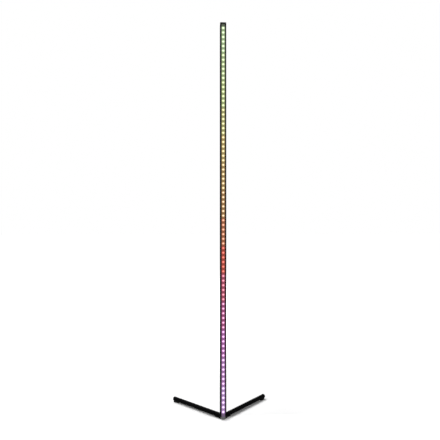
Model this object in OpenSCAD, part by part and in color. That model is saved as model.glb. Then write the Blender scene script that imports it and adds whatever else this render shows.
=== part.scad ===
// Corner floor lamp: a slim upright light bar on a low base whose two legs open at a right angle.
// Millimetres. The origin is on the light bar's axis at floor level and +Z is up. The light window
// faces -Y, and the legs reach back on each side of +Y. They fold in behind the bar for packing.

/* [Light bar] */
// Length of each of the three extruded sections
section_l = 472; // [445:1:500]
// Width of the extrusion
bar_w = 22.5; // [21.5:0.5:25]
// Depth of the extrusion, front to back
bar_d = 20; // [19:0.5:24]
// Radius of its outer corners
bar_corner_r = 2.5; // [1:0.25:3]
// Thickness of its side and rear walls
bar_wall = 2; // [1.6:0.1:2.4]
// Width of the light window between the front lips
window_w = 14; // [12:0.5:15]
// Thickness of the front lips
lip_t = 1.6; // [1.2:0.1:2]
// Thickness of the web that carries the light strip
web_t = 1.8; // [1.4:0.1:2.4]
// Depth of the rear chamber that holds the joining bars
chamber_d = 5.4; // [5:0.1:6]
// Bore of the two screw ports that run along the rear chamber
port_bore_d = 3; // [2.6:0.1:3.2]
// Wall round each screw port
port_wall = 1.25; // [1.2:0.05:1.4]

/* [Light cover] */
// Thickness of the flange that slides behind the lips
flange_t = 1.2; // [0.8:0.1:1.6]
// Clearance all round the cover
cover_gap = 0.15; // [0.1:0.05:0.3]
// Size of the ledges that keep the flange against the lips
ledge = 0.8; // [0.6:0.1:1.2]

/* [Light strip] */
// Light packages on each metre of strip
leds_per_metre = 60; // [48:1:72]
// Bare length of bar below the strip
strip_bottom_gap = 9; // [6:0.5:12]
// Least bare length of bar above the strip
strip_top_gap = 4; // [4:0.5:8]
// Width of the flexible circuit
strip_w = 10; // [8:0.5:11]
// Thickness of the flexible circuit
strip_t = 0.4; // [0.3:0.05:0.6]
// Side of a light package
led_size = 5; // [3.5:0.1:5.4]
// Height of a light package
led_h = 1.6; // [1:0.1:2]
// Diameter of the round lens well in a package
led_well_d = 3.8; // [2.6:0.1:4]
// Depth of the lens well
led_well_h = 0.5; // [0.3:0.1:0.8]
// Packages that one driver chip runs
leds_per_chip = 6; // [3:1:12]
// Width of a driver chip, across the strip
chip_w = 4; // [3:0.1:5]
// Length of a driver chip
chip_l = 5; // [4:0.1:6]
// Height of a driver chip
chip_h = 1.5; // [1:0.1:1.7]
// Width of a resistor, across the strip
resistor_w = 1.6; // [0.8:0.1:1.6]
// Length of a resistor
resistor_l = 3.2; // [1.6:0.1:3.2]
// Height of a resistor
resistor_h = 0.6; // [0.4:0.1:1]
// Distance of each resistor from the strip's centre line
resistor_x = 2.6; // [1.5:0.1:3]

/* [Joining bars] */
// Length of a joining bar
joiner_l = 72; // [60:1:100]
// Clearance round a joining bar in the rear chamber
joiner_gap = 0.2; // [0.1:0.05:0.4]
// Diameter of the grub screws
grub_d = 4; // [3:0.5:4.5]
// Length of the grub screws
grub_l = 5.6; // [4.5:0.1:6]
// Distance of the inner grub screws from the joint
grub_inner = 12; // [8:1:14]
// Distance of the outer grub screws from the joint
grub_outer = 27; // [20:1:28]
// How far a grub screw lies below the rear face
grub_sink = 0.6; // [0.2:0.1:1]

/* [Top cap] */
// Thickness of the cap above the bar
cap_t = 6; // [4:0.5:9]
// Rounding of its upper edge
cap_edge_r = 1.2; // [0.5:0.1:1.5]
// Depth of the tongue that shuts the light channel
cap_tongue_h = 3.5; // [2:0.1:3.8]
// Clearance round that tongue
cap_tongue_gap = 0.4; // [0.2:0.1:0.8]

/* [Screws] */
// Shank diameter of the screws in the ports
port_screw_d = 2.9; // [2.4:0.1:3]
// Head diameter of those screws
port_head_d = 5.6; // [5:0.1:6]
// Head height of those screws
port_head_h = 1.7; // [1.2:0.1:2]
// How far the screws reach into the ports
port_reach = 12; // [8:1:20]
// Clearance of a screw in its hole
screw_gap = 0.15; // [0.05:0.05:0.3]
// Width across the corners of a hex socket
hex_d = 2.4; // [1.6:0.1:2.6]
// Depth of a hex socket
hex_h = 1; // [0.6:0.1:1.2]

/* [Hub] */
// Height of the round arms' undersides, which the sole covers
arm_lift = 0.6; // [0.4:0.1:0.8]
// How much wider than the arms the post is that they spring from
post_step = 1; // [0.5:0.5:3]
// Rounding of the post's lower edge
post_edge_r = 6; // [3:0.5:8]
// How far the bar's foot lies below the legs' tops
seat_drop = 6.1; // [5:0.1:6.5]
// Clearance of the bar in its seat between the arms
seat_gap = 0.15; // [0.1:0.05:0.3]
// Thickness of the shoe's plate under the bar
shoe_plate_t = 1.5; // [1.2:0.1:2]
// Distance of the flat back of the shoe's nose in front of the bar's axis
shoe_back = 3.5; // [3.2:0.1:4.5]
// Thickness of the rubber sole, which the hub stands on
sole_t = 1.4; // [1.2:0.1:2]
// Width of each strip of the sole
sole_w = 7; // [6:0.5:7.4]
// Length of each strip of the sole from the bar's axis
sole_l = 20; // [15:1:21]

/* [Leg hinges] */
// Distance of each hinge pin from the bar's axis
pin_reach = 28; // [27:0.5:34]
// Diameter of the hinge pin
pin_d = 6; // [5:0.5:7]
// Radial clearance of the pin in its bores
pin_gap = 0.05; // [0.02:0.01:0.08]
// Diameter of the pin's head
pin_head_d = 10.4; // [9:0.2:11]
// Height of the pin's head
pin_head_h = 2; // [1.4:0.1:2.2]
// Height of the pin's head above the floor
pin_head_z = 1.4; // [0.8:0.1:1.6]
// Solid metal over the end of the pin's bore
pin_cover_t = 1.5; // [1:0.1:2]
// Thickness of the tongue on the leg
tongue_t = 8; // [6:0.5:9]
// Width of the tongue
tongue_w = 12.8; // [11:0.2:13]
// Thickness of each nylon washer
washer_t = 0.5; // [0.4:0.1:1]
// Outside diameter of the washers
washer_d = 12; // [9:0.5:12.5]
// Free play above and below each washer
play = 0.1; // [0.05:0.05:0.2]
// Gap between the tongue and the wall that stops it at the open position
stop_gap = 0.15; // [0.1:0.05:0.3]
// Gap between the hub's round nose and the leg's shoulder
nose_gap = 0.5; // [0.4:0.1:1.5]

/* [Legs] */
// Distance from the bar's axis to the tip of each leg
leg_reach = 254; // [180:1:320]
// Diameter of the solid round bar
leg_d = 16; // [14:0.5:18]
// Clear height under the legs
leg_lift = 3.1; // [2.8:0.1:5]
// Angle between each leg and the +Y axis
leg_angle = 45; // [40:1:50]
// Length of the end plug's head
plug_head_l = 4; // [3:0.5:8]
// Rounding of the end plug's edge
plug_edge_r = 3; // [1:0.5:3]
// Diameter of the end plug's spigot
spigot_d = 9; // [6:0.5:10]
// Length of the end plug's spigot
spigot_l = 8; // [5:0.5:8]
// Clearance round the spigot
spigot_gap = 0.1; // [0.05:0.05:0.2]

/* [Feet] */
// Width of the rubber foot under the end of each leg
foot_w = 13; // [12:0.5:15]
// Length of the foot
foot_l = 25; // [22:0.5:32]
// Height of the foot's rim
foot_h = 6; // [5:0.1:6.5]
// Distance of the foot's end from the leg's tip
foot_inset = 0.5; // [0.5:0.5:3]
// Distance of the foot's screw from the leg's tip
foot_screw_inset = 17; // [16:0.5:18]
// Gap between the foot's saddle and the leg
saddle_gap = 0.1; // [0.05:0.05:0.2]
// Diameter of the foot screw's head
foot_head_d = 6.6; // [5.5:0.1:7]
// Height of the foot screw's head
foot_head_h = 1.4; // [1:0.1:1.4]
// Height of that head above the floor
foot_head_z = 0.7; // [0.6:0.1:1]
// Diameter of the foot screw's shank
foot_screw_d = 3.8; // [3:0.1:4]
// Reach of the foot screw into the leg
foot_screw_reach = 6; // [4:0.5:8]

/* [Power socket] */
// Diameter of the boss between the legs
boss_d = 12; // [11.5:0.1:12.4]
// Distance of the boss's face behind the bar's axis
boss_reach = 19.5; // [19.5:0.1:20.4]
// Diameter of the socket's shell
shell_d = 8; // [7.5:0.1:8.4]
// Length of the shell inside the boss
shell_l = 9; // [8.5:0.1:9.5]
// Diameter of the socket's flange
flange_d = 10.6; // [9:0.1:11]
// Thickness of the socket's flange
socket_flange_t = 1.2; // [0.8:0.1:2]
// Bore that takes the plug
socket_bore_d = 5.6; // [5.5:0.1:6.4]
// Depth of that bore
socket_depth = 9; // [8:0.1:9.2]
// Diameter of the centre pin
centre_pin_d = 2.1; // [1.7:0.1:2.5]
// Clearance of the shell in the boss
shell_gap = 0.05; // [0.02:0.01:0.1]
// Diameter of each supply wire
wire_d = 1.2; // [0.8:0.1:1.4]
// Gap between each wire and what it passes
wire_gap = 0.1; // [0.05:0.05:0.1]
// Length of wire that lies on the strip
wire_tail = 2.5; // [2:0.1:4]
// Radius of the duct that the wires run through
duct_r = 2.4; // [2.4:0.1:2.6]

/* [Hidden] */

$fn = 64;
LEFT = -1;
RIGHT = 1;
eps = 1;            // how far a cutter runs past the face that it cuts

// Heights
leg_r = leg_d / 2;
leg_axis_z = leg_lift + leg_r;
leg_top_z = leg_lift + leg_d;
arm_d = leg_top_z - arm_lift;       // the arms' tops lie flush with the legs' tops
arm_r = arm_d / 2;
arm_axis_z = leg_top_z - arm_r;
post_d = arm_d + post_step;
bar_z0 = leg_top_z - seat_drop;
seat_z = bar_z0 - shoe_plate_t;
bar_l = 3 * section_l;
bar_z1 = bar_z0 + bar_l;

// Cross-section of the bar, measured from its axis
front_y = -bar_d / 2;
rear_y = bar_d / 2;
inner_w = bar_w - 2 * bar_wall;
lip_y = front_y + lip_t;
ledge_y = lip_y + flange_t + 2 * cover_gap;
chamber_y1 = rear_y - bar_wall;
chamber_y0 = chamber_y1 - chamber_d;
web_y = chamber_y0 - web_t;
port_r = port_bore_d / 2 + port_wall;
port_y = (chamber_y0 + chamber_y1) / 2;
port_bite = 0.5;                    // how far the port's wall runs into the side wall
port_x = inner_w / 2 - port_r + port_bite;
ports = [[-port_x, port_y], [port_x, port_y]];

// Light strip
led_pitch = 1000 / leds_per_metre;
led_count = floor((bar_l - strip_bottom_gap - strip_top_gap) / led_pitch);
strip_l = led_count * led_pitch;
strip_z0 = bar_z0 + strip_bottom_gap;
strip_y = web_y - strip_t;              // the side of the strip that carries the packages
chip_count = floor(led_count / leds_per_chip);

// Joining bars
joiner_w = 2 * (port_x - port_r - joiner_gap);
joiner_t = chamber_d - 2 * joiner_gap;
joint_z = [bar_z0 + section_l, bar_z0 + 2 * section_l];
grub_offsets = [-grub_outer, -grub_inner, grub_inner, grub_outer];
grub_bore_d = grub_d + 2 * screw_gap;
thread_play = 0.1;                      // the joining bar's thread, drawn as a plain close bore
grub_thread_d = grub_d + thread_play;

// Hinges
slot_h = tongue_t + 2 * washer_t + 4 * play;
slot_z0 = arm_axis_z - slot_h / 2;
slot_side = tongue_w / 2 + stop_gap;
shoulder_x = pin_reach + arm_r + nose_gap;
pin_top_z = leg_top_z - pin_cover_t - play;
pin_head_top_z = pin_head_z + pin_head_h;

// Power socket
socket_back_y = boss_reach - shell_l;
socket_pin_tail = 1;                // how far the centre pin stands out behind the shell
wire_x = centre_pin_d / 2 + wire_gap + wire_d / 2;
wire_front_y = strip_y - wire_d / 2 - wire_gap;
wire_end_z = strip_z0 + wire_tail;
WIRE_SIDES = 8;

// ---------------------------------------------------------------- shared shapes

// A rectangle on the axis with round corners.
module rounded_rect(w, d, r) {
    square([w - 2 * r, d], center = true);
    square([w, d - 2 * r], center = true);
    for (x = [-1, 1], y = [-1, 1])
        translate([x * (w / 2 - r), y * (d / 2 - r)]) circle(r = r);
}

// Half of a bar's end, seen from the side, with its upper outer corner rounded.
module edge_profile(half, h, edge) {
    square([half, h - edge]);
    square([half - edge, h]);
    translate([half - edge, h - edge]) intersection() {
        circle(r = edge);
        square(edge);
    }
}

// A block with round corners of radius r, whose upper edge is rounded all the way round.
module soft_block(w, d, h, r, edge) {
    for (flip = [0, 1]) {
        rotate([90, 0, 0]) linear_extrude(height = d - 2 * r, center = true)
            mirror([flip, 0]) edge_profile(w / 2, h, edge);
        rotate([90, 0, 90]) linear_extrude(height = w - 2 * r, center = true)
            mirror([flip, 0]) edge_profile(d / 2, h, edge);
    }
    for (x = [-1, 1], y = [-1, 1])
        translate([x * (w / 2 - r), y * (d / 2 - r), 0])
            rotate_extrude() edge_profile(r, h, edge);
}

// A cylinder along +X from x0 to x1.
module rod_x(x0, x1, r) {
    translate([x0, 0, 0]) rotate([0, 90, 0]) cylinder(h = x1 - x0, r = r);
}

// A cylinder along +Y from y0 to y1.
module rod_y(y0, y1, r) {
    translate([0, y0, 0]) rotate([-90, 0, 0]) cylinder(h = y1 - y0, r = r);
}

// Draws its children, made for a leg along +X, on the right or left side of the base.
// There the leg's outer side, which faces the front, is -Y.
module on_side(side) {
    mirror([side == LEFT ? 1 : 0, 0, 0]) rotate([0, 0, 90 - leg_angle]) children();
}

// A hex socket sunk from z = 0 downwards.
module hex_socket() {
    translate([0, 0, -hex_h]) cylinder(h = hex_h + eps, d = hex_d, $fn = 6);
}

// ---------------------------------------------------------------- light bar

// The extrusion's cross-section: a light channel in front, a chamber with two screw ports behind.
module bar_section() {
    difference() {
        rounded_rect(bar_w, bar_d, bar_corner_r);
        // flange groove, the gap between the ledges, and the room for the strip
        translate([-inner_w / 2, lip_y]) square([inner_w, ledge_y - lip_y]);
        translate([ledge - inner_w / 2, lip_y]) square([inner_w - 2 * ledge, web_y - lip_y]);
        translate([-inner_w / 2, ledge_y + ledge]) square([inner_w, web_y - ledge_y - ledge]);
        translate([-window_w / 2, front_y - eps]) square([window_w, lip_t + 2 * eps]);
        difference() {
            translate([-inner_w / 2, chamber_y0]) square([inner_w, chamber_d]);
            for (p = ports) translate(p) circle(r = port_r);
        }
        for (p = ports) translate(p) circle(d = port_bore_d);
    }
}

// Clearance holes for the grub screws of both joints.
module grub_holes() {
    for (z = joint_z, dz = grub_offsets)
        translate([0, 0, z + dz]) rod_y(port_y, rear_y + eps, grub_bore_d / 2);
}

module profile(index) {
    color([0.05, 0.05, 0.055]) difference() {
        translate([0, 0, bar_z0 + index * section_l])
            linear_extrude(height = section_l) bar_section();
        grub_holes();
    }
}

// A steel bar that slides in the rear chamber and ties two sections together.
module joiner(index) {
    color([0.62, 0.63, 0.65]) difference() {
        translate([-joiner_w / 2, chamber_y0 + joiner_gap, joint_z[index] - joiner_l / 2])
            cube([joiner_w, joiner_t, joiner_l]);
        for (dz = grub_offsets)
            translate([0, 0, joint_z[index] + dz])
                rod_y(chamber_y0 - eps, chamber_y1 + eps, grub_thread_d / 2);
    }
}

module joiner_screws() {
    color([0.2, 0.2, 0.21])
        for (z = joint_z, dz = grub_offsets)
            translate([0, rear_y - grub_sink, z + dz]) rotate([-90, 0, 0]) difference() {
                translate([0, 0, -grub_l]) cylinder(h = grub_l, d = grub_d);
                hex_socket();
            }
}

// The opal cover: a front strip flush with the lips, on a flange that slides behind them.
module light_cover() {
    flange_y = lip_y + cover_gap;
    flange_w = inner_w - 2 * cover_gap;
    strip_front_w = window_w - 2 * cover_gap;
    color([0.95, 0.9, 0.95]) translate([0, 0, bar_z0]) linear_extrude(height = bar_l) {
        translate([-strip_front_w / 2, front_y]) square([strip_front_w, lip_t + cover_gap + flange_t]);
        translate([-flange_w / 2, flange_y]) square([flange_w, flange_t]);
    }
}

// ---------------------------------------------------------------- light strip

module led_strip() {
    color([0.92, 0.92, 0.9]) translate([-strip_w / 2, strip_y, strip_z0]) cube([strip_w, strip_t, strip_l]);
}

// Stands each child on the strip, with its own +Z pointing out of the window.
module on_strip(x, along) {
    translate([x, strip_y, strip_z0 + along]) rotate([90, 0, 0]) children();
}

module led_packages() {
    color([0.98, 0.96, 0.9])
        for (i = [0 : led_count - 1])
            on_strip(0, (i + 0.5) * led_pitch) difference() {
                translate([-led_size / 2, -led_size / 2, 0]) cube([led_size, led_size, led_h]);
                translate([0, 0, led_h - led_well_h]) cylinder(h = led_well_h + eps, d = led_well_d);
            }
}

// The chips lie midway between two packages, one to each group.
module driver_chips() {
    color([0.08, 0.08, 0.09])
        for (i = [0 : chip_count - 1])
            on_strip(-chip_w / 2, (i + 0.5) * leds_per_chip * led_pitch - chip_l / 2)
                cube([chip_w, chip_l, chip_h]);
}

// Two resistors lie side by side in the next gap above each chip.
module strip_resistors() {
    color([0.15, 0.15, 0.16])
        for (i = [0 : chip_count - 1], side = [-1, 1])
            on_strip(side * resistor_x - resistor_w / 2,
                     ((i + 0.5) * leds_per_chip + 1) * led_pitch - resistor_l / 2)
                cube([resistor_w, resistor_l, resistor_h]);
}

// ---------------------------------------------------------------- top cap

// A countersunk screw whose flat head lies at z = 0 and whose shank points down.
module countersunk_screw(l) {
    difference() {
        union() {
            translate([0, 0, -l]) cylinder(h = l, d = port_screw_d);
            translate([0, 0, -port_head_h]) cylinder(h = port_head_h, d1 = port_screw_d, d2 = port_head_d);
        }
        hex_socket();
    }
}

module top_cap() {
    tongue_w_x = inner_w - 2 * cap_tongue_gap;
    tongue_y0 = ledge_y + ledge + cap_tongue_gap;
    tongue_y1 = strip_y - cap_tongue_gap;
    color([0.05, 0.05, 0.055]) difference() {
        union() {
            translate([0, 0, bar_z1]) soft_block(bar_w, bar_d, cap_t, bar_corner_r, cap_edge_r);
            translate([-tongue_w_x / 2, tongue_y0, bar_z1 - cap_tongue_h])
                cube([tongue_w_x, tongue_y1 - tongue_y0, cap_tongue_h + eps]);
        }
        for (p = ports) translate([p.x, p.y, bar_z1]) {
            translate([0, 0, -eps]) cylinder(h = cap_t + 2 * eps, d = port_screw_d + 2 * screw_gap);
            translate([0, 0, cap_t - port_head_h])
                cylinder(h = port_head_h, d1 = port_screw_d + 2 * screw_gap, d2 = port_head_d + 2 * screw_gap);
            translate([0, 0, cap_t]) cylinder(h = eps, d = port_head_d + 2 * screw_gap);
        }
    }
}

module cap_screws() {
    color([0.2, 0.2, 0.21])
        for (p = ports) translate([p.x, p.y, bar_z1 + cap_t]) countersunk_screw(cap_t + port_reach);
}

// ---------------------------------------------------------------- hub

// One arm of the hub, along +X: a round bar with a round nose, seen from above, at the hinge pin.
module arm_body() {
    intersection() {
        translate([0, 0, arm_axis_z]) rod_x(0, pin_reach + arm_r, arm_r);
        union() {
            translate([0, -arm_r, 0]) cube([pin_reach, arm_d, leg_top_z]);
            translate([pin_reach, 0, 0]) cylinder(h = leg_top_z, r = arm_r);
        }
    }
}

// The slot for the leg's tongue. It is open at the nose and on the inner side, and its outer wall
// stops the leg at the open position.
module hinge_slot() {
    translate([pin_reach - slot_side, -slot_side, slot_z0])
        cube([slot_side + arm_r + eps, slot_side + arm_r + eps, slot_h]);
}

module hinge_bores() {
    translate([pin_reach, 0, 0]) {
        cylinder(h = pin_top_z + play, d = pin_d + 2 * pin_gap);
        translate([0, 0, -eps]) cylinder(h = pin_head_top_z + eps, d = pin_head_d + 2 * screw_gap);
    }
}

// The upright post under the bar, a little wider than the arms and rounded underneath.
module hub_post() {
    h = seat_z - arm_lift;
    translate([0, 0, arm_lift]) rotate_extrude()
        translate([0, h]) mirror([0, 1]) edge_profile(post_d / 2, h, post_edge_r);
}

// Everything below the flat underside that the sole covers.
module under_sole() {
    translate([0, 0, sole_t - arm_d]) cylinder(h = arm_d, r = pin_reach + arm_d);
}

// Everything in front of the flat back of the shoe's nose.
module ahead_of_back() {
    translate([-bar_w, -shoe_back - bar_w, 0]) cube([2 * bar_w, bar_w, bar_z0]);
}

// Holes for the bar's screws and the upright part of the wire duct.
module seat_holes() {
    for (p = ports) translate([p.x, p.y, 0])
        cylinder(h = bar_z0 + eps, d = port_screw_d + 2 * screw_gap);
    translate([0, wire_front_y, arm_axis_z]) cylinder(h = bar_z0, r = duct_r);
}

module corner_hub() {
    color([0.06, 0.06, 0.065]) difference() {
        union() {
            hub_post();
            translate([0, 0, arm_axis_z]) rod_y(0, boss_reach, boss_d / 2);
            for (side = [LEFT, RIGHT]) on_side(side) arm_body();
        }
        under_sole();
        ahead_of_back();
        translate([0, 0, seat_z]) linear_extrude(height = bar_z0)
            rounded_rect(bar_w + 2 * seat_gap, bar_d + 2 * seat_gap, bar_corner_r + seat_gap);
        for (side = [LEFT, RIGHT]) on_side(side) {
            hinge_slot();
            hinge_bores();
        }
        for (p = ports) translate([p.x, p.y, 0])
            cylinder(h = sole_t + port_head_h + play, d = port_head_d + 2 * screw_gap);
        seat_holes();
        // socket bore and the level part of the wire duct
        translate([0, 0, arm_axis_z]) {
            rod_y(socket_back_y, boss_reach + eps, shell_d / 2 + shell_gap);
            rod_y(wire_front_y - duct_r / 2, boss_reach, duct_r + seat_gap);
        }
    }
}

// The grey shoe: a plate under the bar, and a nose that closes the front of the hub below it.
module bar_shoe() {
    color([0.4, 0.4, 0.41]) difference() {
        union() {
            intersection() {
                hub_post();
                ahead_of_back();
            }
            translate([0, 0, seat_z])
                linear_extrude(height = shoe_plate_t) rounded_rect(bar_w, bar_d, bar_corner_r);
        }
        under_sole();
        seat_holes();
    }
}

// The sole: two strips of rubber in a V, with round ends.
module hub_sole() {
    color([0.03, 0.03, 0.03]) linear_extrude(height = sole_t) {
        circle(d = sole_w);
        for (side = [LEFT, RIGHT]) on_side(side) {
            translate([0, -sole_w / 2]) square([sole_l - sole_w / 2, sole_w]);
            translate([sole_l - sole_w / 2, 0]) circle(d = sole_w);
        }
    }
}

// Long screws that hold the bar to the hub, driven from below.
module pole_screws() {
    l = bar_z0 + port_reach - sole_t;
    color([0.62, 0.63, 0.65])
        for (p = ports) translate([p.x, p.y, sole_t]) difference() {
            union() {
                cylinder(h = l, d = port_screw_d);
                cylinder(h = port_head_h, d = port_head_d);
            }
            mirror([0, 0, 1]) hex_socket();
        }
}

module hinge_washers() {
    color([0.85, 0.85, 0.82])
        for (side = [LEFT, RIGHT], z = [slot_z0 + play, slot_z0 + slot_h - play - washer_t])
            on_side(side) translate([pin_reach, 0, z]) difference() {
                cylinder(h = washer_t, d = washer_d);
                translate([0, 0, -eps]) cylinder(h = washer_t + 2 * eps, d = pin_d + 2 * pin_gap);
            }
}

module hinge_pin(side) {
    color([0.62, 0.63, 0.65]) on_side(side) translate([pin_reach, 0, pin_head_z]) difference() {
        union() {
            cylinder(h = pin_top_z - pin_head_z, d = pin_d);
            cylinder(h = pin_head_h, d = pin_head_d);
        }
        mirror([0, 0, 1]) hex_socket();
    }
}

// ---------------------------------------------------------------- power socket

module power_socket() {
    color([0.04, 0.04, 0.045]) translate([0, 0, arm_axis_z]) difference() {
        union() {
            rod_y(socket_back_y, boss_reach, shell_d / 2);
            rod_y(boss_reach, boss_reach + socket_flange_t, flange_d / 2);
        }
        rod_y(boss_reach + socket_flange_t - socket_depth, boss_reach + socket_flange_t + eps, socket_bore_d / 2);
        rod_y(socket_back_y - eps, boss_reach, centre_pin_d / 2 + shell_gap);
    }
}

module socket_pin() {
    color([0.8, 0.65, 0.3]) translate([0, 0, arm_axis_z])
        rod_y(socket_back_y - socket_pin_tail, boss_reach, centre_pin_d / 2);
}

// One ring of a wire at point i. The wire bends only in a plane of constant x, and the ring lies
// in the plane that halves the bend.
function wire_ring(points, i) =
    let (before = points[max(i, 1)] - points[max(i, 1) - 1],
         after = points[min(i, len(points) - 2) + 1] - points[min(i, len(points) - 2)],
         along = before / norm(before) + after / norm(after),
         side = [0, -along.z, along.y] / norm(along),
         stretch = 2 / norm(along))
    [for (k = [0 : WIRE_SIDES - 1])
        let (a = 360 * (k + 0.5) / WIRE_SIDES)
        points[i] + wire_d / 2 * (cos(a) * [1, 0, 0] + stretch * sin(a) * side)];

// A wire of round section swept along its points.
module wire(points) {
    rings = len(points);
    last = (rings - 1) * WIRE_SIDES;
    polyhedron(
        points = [for (i = [0 : rings - 1]) each wire_ring(points, i)],
        faces = [
            [for (k = [0 : WIRE_SIDES - 1]) k],
            for (i = [0 : rings - 2], k = [0 : WIRE_SIDES - 1])
                let (n = (k + 1) % WIRE_SIDES, a = i * WIRE_SIDES, b = a + WIRE_SIDES)
                [a + k, b + k, b + n, a + n],
            [for (k = [0 : WIRE_SIDES - 1]) last + WIRE_SIDES - 1 - k]
        ]
    );
}

module supply_wires() {
    for (side = [-1, 1]) {
        x = side * wire_x;
        color(side < 0 ? [0.7, 0.05, 0.05] : [0.05, 0.05, 0.05]) wire([
            [x, socket_back_y - play, arm_axis_z],
            [x, wire_front_y, arm_axis_z],
            [x, wire_front_y, wire_end_z]
        ]);
    }
}

// ---------------------------------------------------------------- legs

// A solid round bar with a flat tongue milled on its inner end.
module leg_bar(side) {
    tip_x = leg_reach - plug_head_l;
    color([0.05, 0.05, 0.055]) on_side(side) difference() {
        intersection() {
            translate([0, 0, leg_axis_z]) rod_x(pin_reach - tongue_w, tip_x, leg_r);
            union() {
                translate([shoulder_x, -leg_d, 0]) cube([leg_reach, 2 * leg_d, 2 * leg_d]);
                translate([0, 0, arm_axis_z - tongue_t / 2]) {
                    translate([pin_reach, -tongue_w / 2, 0]) cube([leg_reach / 2, tongue_w, tongue_t]);
                    translate([pin_reach, 0, 0]) cylinder(h = tongue_t, d = tongue_w);
                }
            }
        }
        translate([pin_reach, 0, 0]) cylinder(h = leg_top_z, d = pin_d + 2 * pin_gap);
        translate([0, 0, leg_axis_z])
            rod_x(tip_x - spigot_l - spigot_gap, tip_x + eps, spigot_d / 2 + spigot_gap);
        translate([leg_reach - foot_screw_inset, 0, 0])
            cylinder(h = leg_lift + foot_screw_reach + play, d = foot_screw_d + 2 * screw_gap);
    }
}

// A moulded plug with a round-edged head as wide as the leg.
module end_plug(side) {
    color([0.04, 0.04, 0.042]) on_side(side)
        translate([leg_reach - plug_head_l, 0, leg_axis_z]) rotate([0, 90, 0]) {
            rotate_extrude() edge_profile(leg_r, plug_head_l, plug_edge_r);
            translate([0, 0, -spigot_l]) cylinder(h = spigot_l + eps, d = spigot_d);
        }
}

// A rubber foot with round ends, whose top is a saddle that fits the leg.
module foot(side) {
    end_x = leg_reach - foot_inset - foot_w / 2;
    start_x = end_x - foot_l + foot_w;
    color([0.03, 0.03, 0.03]) on_side(side) difference() {
        linear_extrude(height = foot_h) {
            translate([start_x, -foot_w / 2]) square([end_x - start_x, foot_w]);
            for (x = [start_x, end_x])
                translate([x, 0]) circle(d = foot_w);
        }
        translate([0, 0, leg_axis_z]) rod_x(pin_reach, leg_reach + leg_d, leg_r + saddle_gap);
        translate([leg_reach - foot_screw_inset, 0, -eps]) {
            cylinder(h = leg_d, d = foot_screw_d + 2 * screw_gap);
            cylinder(h = foot_head_z + foot_head_h + eps, d = foot_head_d + 2 * screw_gap);
        }
    }
}

module foot_screw(side) {
    color([0.62, 0.63, 0.65]) on_side(side)
        translate([leg_reach - foot_screw_inset, 0, foot_head_z]) difference() {
            union() {
                cylinder(h = leg_lift + foot_screw_reach - foot_head_z, d = foot_screw_d);
                cylinder(h = foot_head_h, d = foot_head_d);
            }
            mirror([0, 0, 1]) hex_socket();
        }
}

profile(0);  // lower_profile
profile(1);  // middle_profile
profile(2);  // upper_profile
joiner(0);  // lower_joiner
joiner(1);  // upper_joiner
joiner_screws();
light_cover();
led_strip();
led_packages();
driver_chips();
strip_resistors();
top_cap();
cap_screws();
corner_hub();
bar_shoe();
hub_sole();
pole_screws();
hinge_washers();
hinge_pin(LEFT);  // left_hinge_pin
hinge_pin(RIGHT);  // right_hinge_pin
power_socket();
socket_pin();
supply_wires();
leg_bar(LEFT);  // left_leg_bar
end_plug(LEFT);  // left_end_plug
foot(LEFT);  // left_foot
foot_screw(LEFT);  // left_foot_screw
leg_bar(RIGHT);  // right_leg_bar
end_plug(RIGHT);  // right_end_plug
foot(RIGHT);  // right_foot
foot_screw(RIGHT);  // right_foot_screw
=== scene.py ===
"""Looks of the corner floor lamp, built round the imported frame.

Metres, in the CAD's own frame. The light bar stands on the origin and its window faces -Y.
"""

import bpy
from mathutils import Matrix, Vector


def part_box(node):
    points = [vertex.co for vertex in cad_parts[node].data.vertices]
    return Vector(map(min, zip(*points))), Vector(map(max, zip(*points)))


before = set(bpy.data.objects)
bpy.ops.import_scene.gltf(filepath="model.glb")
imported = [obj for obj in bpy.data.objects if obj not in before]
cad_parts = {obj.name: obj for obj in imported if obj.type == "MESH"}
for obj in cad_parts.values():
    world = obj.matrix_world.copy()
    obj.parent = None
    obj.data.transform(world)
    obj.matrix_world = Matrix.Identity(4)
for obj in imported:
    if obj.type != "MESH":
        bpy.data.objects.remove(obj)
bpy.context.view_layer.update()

import math

import bpy

# ---------------------------------------------------------------- the light strip and the bar's joints

LEDS_PER_METRE = 60
LEDS_PER_CHIP = 6
LED_PITCH = 1 / LEDS_PER_METRE
CHIP_PITCH = LEDS_PER_CHIP * LED_PITCH
LED_HALF_SIZE = 0.0025
RESISTOR_HALF_LENGTH = 0.0016

LEDS_LOW, LEDS_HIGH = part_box("led_packages")
RESISTORS_LOW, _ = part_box("strip_resistors")
FIRST_LED_Z = LEDS_LOW.z + LED_HALF_SIZE
LAST_LED_Z = LEDS_HIGH.z - LED_HALF_SIZE
FIRST_CHIP_Z = FIRST_LED_Z + (LEDS_PER_CHIP - 1) / 2 * LED_PITCH
FIRST_RESISTOR_Z = RESISTORS_LOW.z + RESISTOR_HALF_LENGTH
JOINT_HEIGHTS = (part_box("lower_profile")[1].z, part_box("middle_profile")[1].z)

# ---------------------------------------------------------------- camera

# The view comes from a camera fitted to the light points and the legs in the photograph.
CAMERA_PLACE = (-0.1314, -1.5649, 0.6779)
CAMERA_TILT = 1.3465        # degrees above the horizon
CAMERA_TURN = -4.3975       # degrees about +Z, from the view along +Y
CAMERA_LENS = 35.469        # millimetres
SENSOR_WIDTH = 36           # millimetres

camera_data = bpy.data.cameras.new("camera")
camera_data.lens = CAMERA_LENS
camera_data.sensor_width = SENSOR_WIDTH
camera = bpy.data.objects.new("camera", camera_data)
camera.location = CAMERA_PLACE
camera.rotation_euler = (math.radians(90 + CAMERA_TILT), 0, math.radians(CAMERA_TURN))
bpy.context.scene.collection.objects.link(camera)
bpy.context.scene.camera = camera


# ---------------------------------------------------------------- node graphs

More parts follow.
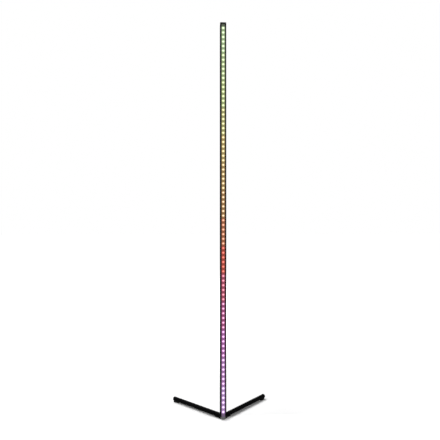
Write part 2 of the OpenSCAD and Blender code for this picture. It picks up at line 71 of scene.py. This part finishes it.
class Graph:
    """A node tree, with short calls that add nodes and links to it."""

    def __init__(self, tree):
        self.tree = tree

    def add(self, kind, inputs=None, **settings):
        node = self.tree.nodes.new("ShaderNode" + kind)
        for name, value in settings.items():
            setattr(node, name, value)
        for name, value in (inputs or {}).items():
            self.put(value, node.inputs[name])
        return node

    def put(self, value, socket):
        """Links value to the socket if it is another node's output, or else sets it."""
        if isinstance(value, bpy.types.NodeSocket):
            self.tree.links.new(value, socket)
        else:
            socket.default_value = value

    def math(self, operation, *values):
        node = self.add("Math", operation=operation)
        for i, value in enumerate(values):
            self.put(value, node.inputs[i])
        return node.outputs[0]

    def scaled(self, vector, scale):
        """The vector times a scale for each axis."""
        node = self.add("Mapping", {"Vector": vector, "Scale": scale})
        return node.outputs["Vector"]

    def noise(self, vector, scale, detail=3.0, roughness=0.55):
        """Noise about 0.5, with scale features to the metre."""
        node = self.add("TexNoise", {"Vector": vector, "Scale": scale, "Detail": detail,
                                     "Roughness": roughness})
        return node.outputs["Fac"]

    def span(self, value, low, high, to_low, to_high):
        """The value moved from the range low..high to the range to_low..to_high, and kept in it."""
        node = self.add("MapRange", {"Value": value, "From Min": low, "From Max": high,
                                     "To Min": to_low, "To Max": to_high})
        return node.outputs["Result"]

    def spread(self, noise, to_low, to_high, reach=0.2):
        """The noise from reach below 0.5 to reach above it, moved to to_low..to_high."""
        return self.span(noise, 0.5 - reach, 0.5 + reach, to_low, to_high)

    def mix(self, share, first, second):
        """Colour first where share is 0 and second where it is 1."""
        node = self.add("Mix", data_type="RGBA")
        for socket, value in zip((node.inputs[0], node.inputs[6], node.inputs[7]),
                                 (share, first, second)):
            self.put(value, socket)
        return node.outputs[2]

    def ramp(self, value, stops):
        """Colour and fourth channel at the value, between stops of a place and its four channels."""
        last = stops[-1][0]
        node = self.add("ValToRGB", {"Fac": self.math("DIVIDE", value, last)})
        elements = node.color_ramp.elements
        while len(elements) < len(stops):
            elements.new(0.5)
        for element, (place, colour) in zip(elements, stops):
            element.position = place / last
            element.color = colour
        return node.outputs["Color"], node.outputs["Alpha"]

    def bump(self, height, distance):
        node = self.add("Bump", {"Height": height, "Distance": distance})
        return node.outputs["Normal"]


def rgba(colour, factor=1.0):
    return tuple(channel * factor for channel in colour) + (1.0,)


class Material(Graph):
    """A new material with its shader, and the object's own coordinates in metres."""

    def __init__(self, name, **shader_values):
        self.material = bpy.data.materials.new(name)
        self.material.use_nodes = True
        super().__init__(self.material.node_tree)
        self.shader = self.tree.nodes["Principled BSDF"]
        self.place = self.add("TexCoord").outputs["Object"]
        axes = self.add("SeparateXYZ", {"Vector": self.place})
        self.x, self.y, self.z = axes.outputs
        for name, value in shader_values.items():
            self.set(name.replace("_", " "), value)

    def set(self, socket, value):
        names = {i.name.lower(): i for i in self.shader.inputs}
        if isinstance(value, tuple) and len(value) == 3:
            value = rgba(value)
        self.put(value, names[socket.lower()])

    def off_centre(self, first, pitch):
        """Height above the nearest of the places that start at first and repeat with the pitch."""
        steps = self.math("DIVIDE", self.math("SUBTRACT", self.z, first - pitch / 2), pitch)
        within = self.math("SUBTRACT", self.math("FRACT", steps), 0.5)
        return self.math("MULTIPLY", within, pitch)


def dress(material, *nodes):
    """Gives the CAD nodes the material."""
    for name in nodes:
        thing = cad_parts[name]
        if not thing.material_slots:
            thing.data.materials.append(material.material)
        for holder in thing.material_slots:
            holder.material = material.material


# ---------------------------------------------------------------- dark metals and plastics

BLACK = (0.0020, 0.0020, 0.0023)
# The shoe's grey middle is a painted highlight, as from a rounded front that reflects the light; its
# sides are painted black as shade.
SHOE_HIGHLIGHT_GREY = (0.13, 0.13, 0.13)
SHOE_SHADED_SIDES = (0.0060, 0.0100)     # distances from the middle over which its painted highlight turns to painted shade
RUBBER = (0.008, 0.008, 0.008)
CHIP_RESIN = (0.02, 0.02, 0.022)

BLOTCH_SCALE = 34.0
DUST = (0.030, 0.029, 0.027)
DUST_SCALE = 900.0
SPECK_START, SPECK_FULL = 0.56, 0.8     # noise values over which a speck of dust comes in
DUSTY_SLOPE = 0.35                      # upward part of a face's normal at which dust starts to lie


def dark_finish(name, colour, roughness, grain_scale, grain_depth, specular=0.3, dust=0.0,
                shaded_sides=None):
    """A dark coat with a fine grain, soft blotches of gloss and some dust on upward faces.

    The last argument gives the distances from the middle over which it turns black: painted shade.
    """
    m = Material(name, specular_ior_level=specular)
    blotch = m.noise(m.place, BLOTCH_SCALE, detail=4.0)
    fine = m.noise(m.place, grain_scale, detail=2.0)
    coat = m.mix(m.spread(blotch, 0.0, 1.0), rgba(colour, 0.8), rgba(colour, 1.25))
    # Painted shade: the colour turns black towards the sides, away from the middle.
    if shaded_sides:
        coat = m.mix(m.span(m.math("ABSOLUTE", m.x), *shaded_sides, 0.0, 1.0), coat, rgba(BLACK))
    if dust:
        up = m.add("SeparateXYZ", {"Vector": m.add("NewGeometry").outputs["Normal"]}).outputs["Z"]
        specks = m.span(m.noise(m.place, DUST_SCALE, detail=5.0, roughness=0.7),
                        SPECK_START, SPECK_FULL, 0.0, dust)
        lying = m.span(up, DUSTY_SLOPE, 1.0, 0.0, 1.0)
        coat = m.mix(m.math("MULTIPLY", lying, specks), coat, rgba(DUST))
    m.set("Base Color", coat)
    worn = m.math("ADD", m.spread(blotch, roughness - 0.05, roughness + 0.06, reach=0.25),
                  m.spread(fine, -0.03, 0.03))
    m.set("Roughness", worn)
    m.set("Normal", m.bump(fine, grain_depth))
    return m


DIE_LINE_SCALE = 1700.0
DIE_LINE_DEPTH = 0.00002
ALONG_DIE_LINES = (1.0, 1.0, 0.004)     # draws the noise out along the bar
ALONG_BLOTCHES = (1.0, 1.0, 0.35)
SEAM_CORE, SEAM_EDGE = 0.00008, 0.00022     # distances from a joint at which its dark line ends


def anodised_bar():
    """Black anodised extrusion: die lines along its length and hairline joints between sections."""
    m = Material("bar_black", specular_ior_level=0.02)
    die_lines = m.noise(m.scaled(m.place, ALONG_DIE_LINES), DIE_LINE_SCALE, roughness=0.6)
    blotch = m.noise(m.scaled(m.place, ALONG_BLOTCHES), 26.0)
    coat = m.mix(m.spread(die_lines, 0.0, 1.0), rgba(BLACK, 0.75), rgba(BLACK, 1.45))
    seam = 0.0
    for height in JOINT_HEIGHTS:
        away = m.math("ABSOLUTE", m.math("SUBTRACT", m.z, height))
        seam = m.math("ADD", seam, m.span(away, SEAM_CORE, SEAM_EDGE, 1.0, 0.0))
    m.set("Base Color", m.mix(seam, coat, rgba(BLACK, 0.1)))
    m.set("Roughness", m.math("ADD", m.spread(die_lines, 0.58, 0.70, reach=0.25),
                              m.spread(blotch, -0.03, 0.05)))
    m.set("Normal", m.bump(die_lines, DIE_LINE_DEPTH))
    return m


bar_black = anodised_bar()
cap_black = dark_finish("cap_black", BLACK, roughness=0.5, grain_scale=2600.0, grain_depth=0.00003,
                        specular=0.05, dust=0.25)
hub_black = dark_finish("hub_black", BLACK, roughness=0.34, grain_scale=1500.0, grain_depth=0.00002,
                        specular=0.01, dust=0.2)
leg_black = dark_finish("leg_black", BLACK, roughness=0.36, grain_scale=1500.0, grain_depth=0.00002,
                        specular=0.01, dust=0.2)
# Painted highlight in the shoe's grey middle, and painted shade at its black sides.
shoe_grey = dark_finish("shoe_grey", SHOE_HIGHLIGHT_GREY, roughness=0.42, grain_scale=2400.0,
                        grain_depth=0.00002, specular=0.4, dust=0.15, shaded_sides=SHOE_SHADED_SIDES)
rubber_black = dark_finish("rubber_black", RUBBER, roughness=0.82, grain_scale=2200.0,
                           grain_depth=0.00006, specular=0.1, dust=0.3)
socket_black = dark_finish("socket_black", BLACK, roughness=0.22, grain_scale=3000.0,
                           grain_depth=0.00001, specular=0.5)
chip_black = dark_finish("chip_black", CHIP_RESIN, roughness=0.55, grain_scale=6000.0,
                         grain_depth=0.00001)

dress(bar_black, "lower_profile", "middle_profile", "upper_profile")
dress(cap_black, "top_cap", "left_end_plug", "right_end_plug")
dress(hub_black, "corner_hub")
dress(shoe_grey, "bar_shoe")
dress(leg_black, "left_leg_bar", "right_leg_bar")
dress(rubber_black, "hub_sole", "left_foot", "right_foot")
dress(socket_black, "power_socket")
dress(chip_black, "driver_chips")

# ---------------------------------------------------------------- bright metals and small plastics

ZINC = (0.58, 0.58, 0.56)
OXIDISED_STEEL = (0.045, 0.045, 0.048)
BRASS = (0.78, 0.6, 0.28)
NYLON = (0.66, 0.65, 0.61)
TIN = (0.62, 0.62, 0.6)
COPPER = (0.72, 0.38, 0.2)
RING_SCALE = 5200.0
RING_DEPTH = 0.000008
ROUND_THE_AXIS = (0.15, 0.15, 1.0)      # draws the noise out across +Z
RING_SPREAD = 0.08                      # how far the rings move the roughness


def turned_metal(name, colour, roughness):
    """Plated or turned metal, with fine rings round +Z and a faint cloud in its colour."""
    m = Material(name, metallic=1.0)
    rings = m.noise(m.scaled(m.place, ROUND_THE_AXIS), RING_SCALE, detail=2.0)
    cloud = m.noise(m.place, 420.0, detail=4.0)
    m.set("Base Color", m.mix(m.spread(cloud, 0.0, 1.0), rgba(colour, 0.86), rgba(colour, 1.08)))
    m.set("Roughness", m.spread(rings, roughness - RING_SPREAD, roughness + RING_SPREAD))
    m.set("Normal", m.bump(rings, RING_DEPTH))
    return m


zinc_steel = turned_metal("zinc_steel", ZINC, roughness=0.34)
screw_black = turned_metal("screw_black", OXIDISED_STEEL, roughness=0.46)
pin_brass = turned_metal("pin_brass", BRASS, roughness=0.26)
nylon_white = dark_finish("nylon_white", NYLON, roughness=0.5, grain_scale=2400.0,
                          grain_depth=0.00002, specular=0.5)

dress(zinc_steel, "lower_joiner", "upper_joiner", "pole_screws", "left_hinge_pin", "right_hinge_pin",
      "left_foot_screw", "right_foot_screw")
dress(screw_black, "joiner_screws", "cap_screws")
dress(pin_brass, "socket_pin")
dress(nylon_white, "hinge_washers")

FAINT_DEPTH = 0.00001       # bump of the finest grains
PAD_OFFSET = 0.0032         # from the strip's middle line to a solder pad
PAD_HALF_LENGTH, PAD_HALF_WIDTH = 0.0018, 0.0009
TINNED_LENGTH = 0.0004      # at each end of a resistor


def wire_jackets():
    """The wire at -X is red and the one at +X is black."""
    m = Material("wire_jacket", roughness=0.4)
    shine = m.noise(m.place, 1800.0)
    red = m.mix(shine, rgba((0.42, 0.02, 0.02)), rgba((0.55, 0.03, 0.03)))
    m.set("Base Color", m.mix(m.math("GREATER_THAN", m.x, 0.0), red, rgba(BLACK)))
    m.set("Normal", m.bump(shine, FAINT_DEPTH))
    return m


def flexible_circuit():
    """A white flexible circuit with copper pads between the chips' groups and a faint weave."""
    m = Material("strip_white", roughness=0.45)
    weave = m.noise(m.scaled(m.place, (1.0, 1.0, 0.3)), 3000.0)
    mask = m.mix(weave, rgba((0.74, 0.74, 0.71)), rgba((0.84, 0.84, 0.82)))
    along = m.math("ABSOLUTE", m.off_centre(FIRST_LED_Z - LED_PITCH / 2, CHIP_PITCH))
    across = m.math("ABSOLUTE", m.math("SUBTRACT", m.math("ABSOLUTE", m.x), PAD_OFFSET))
    pad = m.math("MULTIPLY", m.math("LESS_THAN", along, PAD_HALF_LENGTH),
                 m.math("LESS_THAN", across, PAD_HALF_WIDTH))
    m.set("Base Color", m.mix(pad, mask, rgba(COPPER)))
    m.set("Metallic", pad)
    m.set("Normal", m.bump(weave, FAINT_DEPTH))
    return m


def tinned_resistors():
    """Black ceramic bodies with tinned ends."""
    m = Material("resistor_black")
    grain = m.noise(m.place, 5000.0)
    along = m.math("ABSOLUTE", m.off_centre(FIRST_RESISTOR_Z, CHIP_PITCH))
    tinned = m.math("GREATER_THAN", along, RESISTOR_HALF_LENGTH - TINNED_LENGTH)
    body = m.mix(grain, rgba((0.02, 0.02, 0.022)), rgba((0.035, 0.035, 0.038)))
    m.set("Base Color", m.mix(tinned, body, rgba(TIN)))
    m.set("Metallic", tinned)
    m.set("Roughness", m.spread(grain, 0.34, 0.48))
    return m


dress(wire_jackets(), "supply_wires")
dress(flexible_circuit(), "led_strip")
dress(tinned_resistors(), "strip_resistors")

# ---------------------------------------------------------------- light

# The light's programme, a rainbow from the bottom to the top. Each chip of the strip gives its six
# points one colour. A stop is the chip's number, with red, green and blue in the glow, and white in
# the core of a point.
PROGRAMME = (
    (0, (0.80, 0.45, 1.00, 0.70)),      # violet
    (2, (0.65, 0.15, 0.60, 0.95)),      # orchid
    (3, (0.60, 0.05, 0.30, 0.95)),      # magenta
    (5, (0.75, 0.05, 0.00, 0.35)),      # red
    (7, (0.60, 0.30, 0.05, 0.95)),      # orange
    (9, (0.75, 0.55, 0.15, 0.75)),      # yellow
    (11, (0.65, 0.80, 0.30, 0.55)),     # lime
    (13, (0.65, 0.90, 0.45, 0.50)),     # soft green
)
CHIP_BLEND = 0.05           # half the share of a chip's length over which its colour turns
GLOW_STRENGTH = 1.6         # the shader's strength, by which the emission colour is divided
BETWEEN_GLOW = 0.385        # coloured light between two points
SPOT_GLOW = 1.28            # coloured light added at a point
SPOT_WIDTH = 0.0040         # distances at which that has fallen to 1/e, across the bar and along it
SPOT_HEIGHT = 0.0034
CORE_SIZE = 0.0028          # the same distance for the white core
EDGE_START, EDGE_END = 0.0040, 0.0066   # distances from the middle over which the light falls off
EDGE_GLOW = 0.25            # share of the light left at the window's sides
TOP_GLOW, BOTTOM_GLOW = 0.20, 0.36      # shares left above the last point and below the first
FADE_LENGTH = 0.009         # length over which it falls to them
LENS_RADIUS = 0.00192
COVER_DARK, COVER_PALE = (0.020, 0.018, 0.020), (0.030, 0.027, 0.030)


def light_window():
    """The tinted cover, lit from behind by the row of points."""
    m = Material("window_cover", specular_ior_level=0.35, roughness=0.32)
    dz = m.off_centre(FIRST_LED_Z, LED_PITCH)
    chips = m.math("DIVIDE", m.math("SUBTRACT", m.z, FIRST_CHIP_Z), CHIP_PITCH)
    turn = m.span(m.math("FRACT", chips), 0.5 - CHIP_BLEND, 0.5 + CHIP_BLEND, 0.0, 1.0)
    chip = m.math("ADD", m.math("FLOOR", chips), turn)
    hue, whiteness = m.ramp(chip, PROGRAMME)

    def spot(width, length):
        """A round falloff about the nearest light point: 1 at its middle."""
        across = m.math("POWER", m.math("DIVIDE", m.math("ABSOLUTE", m.x), width), 2.0)
        along = m.math("POWER", m.math("DIVIDE", m.math("ABSOLUTE", dz), length), 2.0)
        return m.math("EXPONENT", m.math("MULTIPLY", m.math("ADD", across, along), -1.0))

    # The strip ends short of the window's ends, so there are no points there and the light fades.
    on_strip = m.math("MULTIPLY", m.math("GREATER_THAN", m.z, FIRST_LED_Z - LED_PITCH / 2),
                      m.math("LESS_THAN", m.z, LAST_LED_Z + LED_PITCH / 2))
    fade = m.math("MULTIPLY", m.span(m.z, LAST_LED_Z, LAST_LED_Z + FADE_LENGTH, 1.0, TOP_GLOW),
                  m.span(m.z, FIRST_LED_Z - FADE_LENGTH, FIRST_LED_Z, BOTTOM_GLOW, 1.0))
    edge = m.span(m.math("ABSOLUTE", m.x), EDGE_START, EDGE_END, 1.0, EDGE_GLOW)
    between = m.math("MULTIPLY", m.math("MULTIPLY", edge, fade), BETWEEN_GLOW)
    halo = m.math("MULTIPLY", m.math("MULTIPLY", spot(SPOT_WIDTH, SPOT_HEIGHT), on_strip), SPOT_GLOW)
    coloured = m.math("ADD", between, halo)
    white = m.math("MULTIPLY", m.math("MULTIPLY", spot(CORE_SIZE, CORE_SIZE), on_strip), whiteness)

    tint = m.add("VectorMath", operation="SCALE")
    m.put(hue, tint.inputs[0])
    m.put(m.math("DIVIDE", coloured, GLOW_STRENGTH), tint.inputs["Scale"])
    core = m.add("CombineXYZ")
    for socket in core.inputs:
        m.put(m.math("DIVIDE", white, GLOW_STRENGTH), socket)
    light = m.add("VectorMath", operation="ADD")
    m.put(tint.outputs[0], light.inputs[0])
    m.put(core.outputs[0], light.inputs[1])
    m.set("Emission Color", light.outputs[0])
    m.set("Emission Strength", GLOW_STRENGTH)

    drawn = m.noise(m.scaled(m.place, (1.0, 1.0, 0.01)), 1500.0)
    m.set("Base Color", m.mix(drawn, rgba(COVER_DARK), rgba(COVER_PALE)))
    m.set("Normal", m.bump(drawn, FAINT_DEPTH))
    return m


def lens_and_body():
    """Each package: a white body, and a yellow phosphor lens in its round well."""
    m = Material("led_lens", roughness=0.3, specular_ior_level=0.6)
    dz = m.off_centre(FIRST_LED_Z, LED_PITCH)
    squares = m.math("ADD", m.math("MULTIPLY", m.x, m.x), m.math("MULTIPLY", dz, dz))
    lens = m.math("LESS_THAN", m.math("SQRT", squares), LENS_RADIUS)
    grain = m.noise(m.place, 4000.0)
    body = m.mix(grain, rgba((0.78, 0.77, 0.73)), rgba((0.86, 0.85, 0.82)))
    m.set("Base Color", m.mix(lens, body, rgba((0.82, 0.68, 0.25))))
    m.set("Emission Color", m.mix(lens, rgba((0.0, 0.0, 0.0)), rgba((1.0, 0.93, 0.86))))
    m.set("Emission Strength", 1.0)
    return m


dress(light_window(), "light_cover")
dress(lens_and_body(), "led_packages")

# ---------------------------------------------------------------- studio

WHITE = (1.0, 1.0, 1.0)
PAPER = (0.9, 0.9, 0.9)
FLOOR_REACH = 60.0
AMBIENT = 0.30              # the world's strength on the object, where plainly seen it is 1
# Where plainly seen, the floor adds some light of its own, so that it is white up to the horizon:
# least at the lamp and most far from it. Just in front of it, a painted pool of light pales the lamp's
# shadow; the legs' shadows stay on it.
NEAR_LIFT, FRONT_POOL_LIGHT, FAR_LIFT = 0.04, 0.42, 0.76
LIFT_START, LIFT_END = 0.25, 1.5        # distances from the bar, from near to far
POOL_START, POOL_END = 0.028, -0.014  # places along Y over which the painted pool of light comes in, from near to in front


def plainly_seen(graph):
    """1 for camera, glossy and transmission rays, and 0 for the rest."""
    path = graph.add("LightPath")
    seen = graph.math("MAXIMUM", path.outputs["Is Camera Ray"], path.outputs["Is Glossy Ray"])
    return graph.math("MAXIMUM", seen, path.outputs["Is Transmission Ray"])


world = bpy.data.worlds.new("studio")
world.use_nodes = True
bpy.context.scene.world = world
sky = Graph(world.node_tree)
background = world.node_tree.nodes["Background"]
background.inputs["Color"].default_value = rgba(WHITE)
sky.put(sky.math("ADD", AMBIENT, sky.math("MULTIPLY", plainly_seen(sky), 1 - AMBIENT)),
        background.inputs["Strength"])

floor_mesh = bpy.data.meshes.new("floor")
floor_mesh.from_pydata(
    [(x * FLOOR_REACH, y * FLOOR_REACH, 0.0) for x, y in ((-1, -1), (1, -1), (1, 1), (-1, 1))],
    [], [(0, 1, 2, 3)])
floor = bpy.data.objects.new("floor", floor_mesh)
bpy.context.scene.collection.objects.link(floor)
paper = Material("paper", specular_ior_level=0.0, roughness=1.0)
paper.set("Base Color", PAPER)
paper.set("Emission Color", WHITE)
distance = paper.math("SQRT", paper.math("ADD", paper.math("MULTIPLY", paper.x, paper.x),
                                         paper.math("MULTIPLY", paper.y, paper.y)))
# The second term is a painted pool of light in front of the lamp, which pales the bar's shadow there.
lift_and_painted_pool = paper.math("MAXIMUM", paper.span(distance, LIFT_START, LIFT_END, NEAR_LIFT, FAR_LIFT),
                  paper.span(paper.y, POOL_START, POOL_END, NEAR_LIFT, FRONT_POOL_LIGHT))
paper.set("Emission Strength", paper.math("MULTIPLY", plainly_seen(paper), lift_and_painted_pool))
floor_mesh.materials.append(paper.material)

# Each softbox: place, the point that it faces, width and height, power in watts.
SOFTBOXES = (
    ((-1.2, 1.3, 3.1), (0.0, 0.0, 0.0), (4.5, 2.0), 142.0),
    ((-1.2, -2.4, 2.2), (0.0, 0.0, 0.6), (2.0, 2.0), 12.0),
)


def softbox(index, place, target, size, power):
    lamp = bpy.data.lights.new(f"softbox_{index}", "AREA")
    lamp.shape = "RECTANGLE"
    lamp.size, lamp.size_y = size
    lamp.energy = power
    holder = bpy.data.objects.new(f"softbox_{index}", lamp)
    holder.location = place
    aim = [t - p for t, p in zip(target, place)]
    flat = math.hypot(aim[0], aim[1])
    holder.rotation_euler = (math.atan2(flat, -aim[2]), 0, math.atan2(-aim[0], aim[1]))
    bpy.context.scene.collection.objects.link(holder)


for index, values in enumerate(SOFTBOXES):
    softbox(index, *values)

bpy.context.scene.view_settings.view_transform = "Standard"
